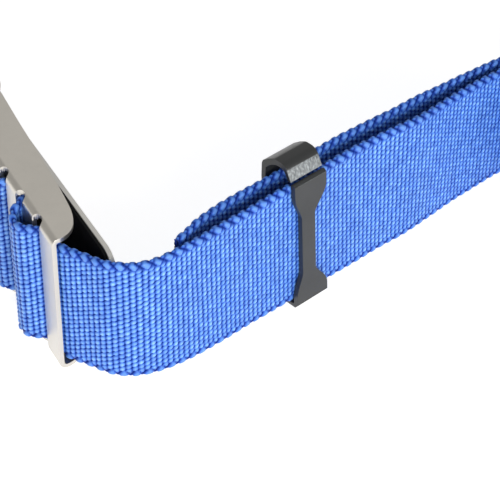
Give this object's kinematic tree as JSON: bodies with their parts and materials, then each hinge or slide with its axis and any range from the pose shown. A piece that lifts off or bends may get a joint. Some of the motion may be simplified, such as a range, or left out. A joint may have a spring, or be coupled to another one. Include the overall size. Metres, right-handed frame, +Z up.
{
  "type": "cam-lever buckle strap",
  "caption": "Woven nylon lashing strap with a stamped steel slotted cam-lever buckle, a sliding split keeper for the free end, and its spare length rolled.",
  "frame": {"origin": "middle of the bounding box's footprint, on the surface that the strap's lower edge stands on", "axes": "+Z up, across the webbing's width; +X along the strap from the buckle to the roll; +Y along the buckle from its slotted end to its pivot"},
  "size_m": [0.2742, 0.1522, 0.0612],
  "materials": {
    "stainless_steel": "pickled and lightly brushed",
    "black_rubber": "matt",
    "cast_jaw": "cast, zinc plated",
    "steel_fasteners": "bright",
    "black_nylon": "satin",
    "keeper_plastic": "semi-gloss moulded",
    "blue_webbing": "heavy woven nylon"
  },
  "bodies": {
    "strap_and_buckle": {"buckle_body": "stainless_steel", "pivot_pin": "steel_fasteners", "pivot_spacer_top": "black_nylon", "pivot_spacer_bottom": "black_nylon", "webbing_woven_end": "blue_webbing", "webbing_front_run": "blue_webbing", "webbing_roll": "blue_webbing", "webbing_free_end": "blue_webbing"},
    "lever": {"cam_lever": "stainless_steel", "lever_pad": "black_rubber", "cam_jaw": "cast_jaw", "jaw_rivets": "steel_fasteners"},
    "keeper": {"keeper": "keeper_plastic"}
  },
  "joints": [
    {"name": "lever_hinge", "type": "hinge", "parent": "strap_and_buckle", "child": "lever", "pos_m": [-0.12048, 0.0601, 0.0285], "axis": [0, 0, 1], "range_deg": [0, 120]},
    {"name": "keeper_slide", "type": "slide", "parent": "strap_and_buckle", "child": "keeper", "axis": [0.977, 0.2132, 0], "range_m": [-0.01, 0.026]}
  ]
}
